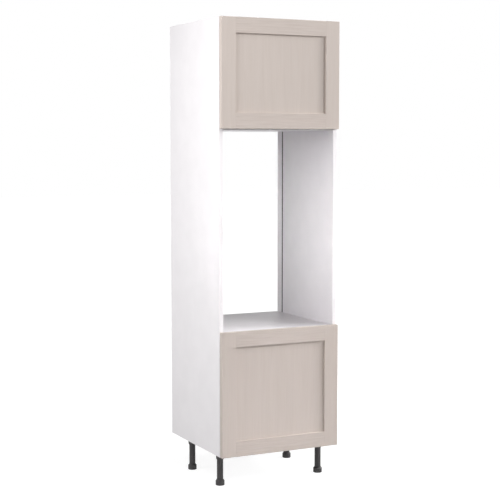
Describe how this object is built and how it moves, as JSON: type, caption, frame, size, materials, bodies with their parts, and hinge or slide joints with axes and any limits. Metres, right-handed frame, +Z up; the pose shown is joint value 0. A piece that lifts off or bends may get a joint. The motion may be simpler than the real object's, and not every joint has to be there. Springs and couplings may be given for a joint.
{
  "type": "tall oven housing unit",
  "caption": "Tall kitchen unit on adjustable legs: an open bay for a built-in oven between an upper and a lower cupboard, each closed by a framed door with a recessed panel.",
  "frame": {"origin": "on the floor, under the middle of the overall box of the unit with both doors closed and the legs screwed in", "axes": "+Z up; the doors face -Y; +X is to the right of someone facing the doors"},
  "size_m": [0.6, 0.577, 2.12],
  "materials": {
    "white_board": "white melamine-faced chipboard, smooth satin",
    "white_edging": "white edging tape, satin",
    "door_foil": "foil-wrapped board with a fine pressed wood grain, matt warm grey",
    "black_plastic": "moulded plastic, semi-matt",
    "zinc_plated_steel": "bright zinc or nickel plating",
    "beech": "plain turned beech",
    "clear_buffer": "soft clear plastic"
  },
  "bodies": {
    "carcass": {"left_side_panel": "white_board", "right_side_panel": "white_board", "top_panel": "white_board", "upper_oven_shelf": "white_board", "lower_oven_shelf": "white_board", "bottom_panel": "white_board", "upper_back_panel": "white_board", "lower_back_panel": "white_board", "front_edge_tapes": "white_edging", "wooden_dowels": "beech", "cam_bolts": "zinc_plated_steel", "cam_locks": "zinc_plated_steel", "leg_socket_front_left": "black_plastic", "leg_socket_front_right": "black_plastic", "leg_socket_back_left": "black_plastic", "leg_socket_back_right": "black_plastic", "leg_tube_front_left": "black_plastic", "leg_tube_front_right": "black_plastic", "leg_tube_back_left": "black_plastic", "leg_tube_back_right": "black_plastic", "leg_socket_screws": "zinc_plated_steel", "upper_door_top_hinge_arm": "zinc_plated_steel", "upper_door_bottom_hinge_arm": "zinc_plated_steel", "lower_door_top_hinge_arm": "zinc_plated_steel", "lower_door_bottom_hinge_arm": "zinc_plated_steel", "upper_door_top_hinge_plate": "zinc_plated_steel", "upper_door_bottom_hinge_plate": "zinc_plated_steel", "lower_door_top_hinge_plate": "zinc_plated_steel", "lower_door_bottom_hinge_plate": "zinc_plated_steel", "hinge_arm_pins": "zinc_plated_steel", "hinge_plate_screws": "zinc_plated_steel", "hinge_arm_screws": "zinc_plated_steel"},
    "upper_door": {"upper_door_left_stile": "door_foil", "upper_door_right_stile": "door_foil", "upper_door_top_rail": "door_foil", "upper_door_bottom_rail": "door_foil", "upper_door_centre_panel": "door_foil", "upper_door_buffers": "clear_buffer", "upper_door_top_hinge_cup": "zinc_plated_steel", "upper_door_bottom_hinge_cup": "zinc_plated_steel", "upper_door_cup_pins": "zinc_plated_steel", "upper_door_cup_screws": "zinc_plated_steel"},
    "upper_door_links": {"upper_door_hinge_links": "zinc_plated_steel"},
    "lower_door": {"lower_door_left_stile": "door_foil", "lower_door_right_stile": "door_foil", "lower_door_top_rail": "door_foil", "lower_door_bottom_rail": "door_foil", "lower_door_centre_panel": "door_foil", "lower_door_buffers": "clear_buffer", "lower_door_top_hinge_cup": "zinc_plated_steel", "lower_door_bottom_hinge_cup": "zinc_plated_steel", "lower_door_cup_pins": "zinc_plated_steel", "lower_door_cup_screws": "zinc_plated_steel"},
    "lower_door_links": {"lower_door_hinge_links": "zinc_plated_steel"},
    "foot_front_left": {"leg_foot_front_left": "black_plastic"},
    "foot_front_right": {"leg_foot_front_right": "black_plastic"},
    "foot_back_left": {"leg_foot_back_left": "black_plastic"},
    "foot_back_right": {"leg_foot_back_right": "black_plastic"}
  },
  "joints": [
    {"name": "upper_links_on_arms", "type": "hinge", "parent": "carcass", "child": "upper_door_links", "pos_m": [0.25635, -0.2503, 1.875], "axis": [0, 0, 1], "range_deg": [-47.3, 0]},
    {"name": "upper_door_swing", "type": "hinge", "parent": "upper_door_links", "child": "upper_door", "pos_m": [0.2851, -0.2697, 1.875], "axis": [0, 0, 1], "range_deg": [0, 157.3]},
    {"name": "lower_links_on_arms", "type": "hinge", "parent": "carcass", "child": "lower_door_links", "pos_m": [0.25635, -0.2503, 0.437], "axis": [0, 0, 1], "range_deg": [-47.3, 0]},
    {"name": "lower_door_swing", "type": "hinge", "parent": "lower_door_links", "child": "lower_door", "pos_m": [0.2851, -0.2697, 0.437], "axis": [0, 0, 1], "range_deg": [0, 157.3]},
    {"name": "foot_front_left_height", "type": "slide", "parent": "carcass", "child": "foot_front_left", "axis": [0, 0, -1], "range_m": [0, 0.025]},
    {"name": "foot_front_right_height", "type": "slide", "parent": "carcass", "child": "foot_front_right", "axis": [0, 0, -1], "range_m": [0, 0.025]},
    {"name": "foot_back_left_height", "type": "slide", "parent": "carcass", "child": "foot_back_left", "axis": [0, 0, -1], "range_m": [0, 0.025]},
    {"name": "foot_back_right_height", "type": "slide", "parent": "carcass", "child": "foot_back_right", "axis": [0, 0, -1], "range_m": [0, 0.025]}
  ],
  "couplings": [
    {"joint": "upper_links_on_arms", "follows": "upper_door_swing", "ratio": -0.3007},
    {"joint": "lower_links_on_arms", "follows": "lower_door_swing", "ratio": -0.3007}
  ]
}
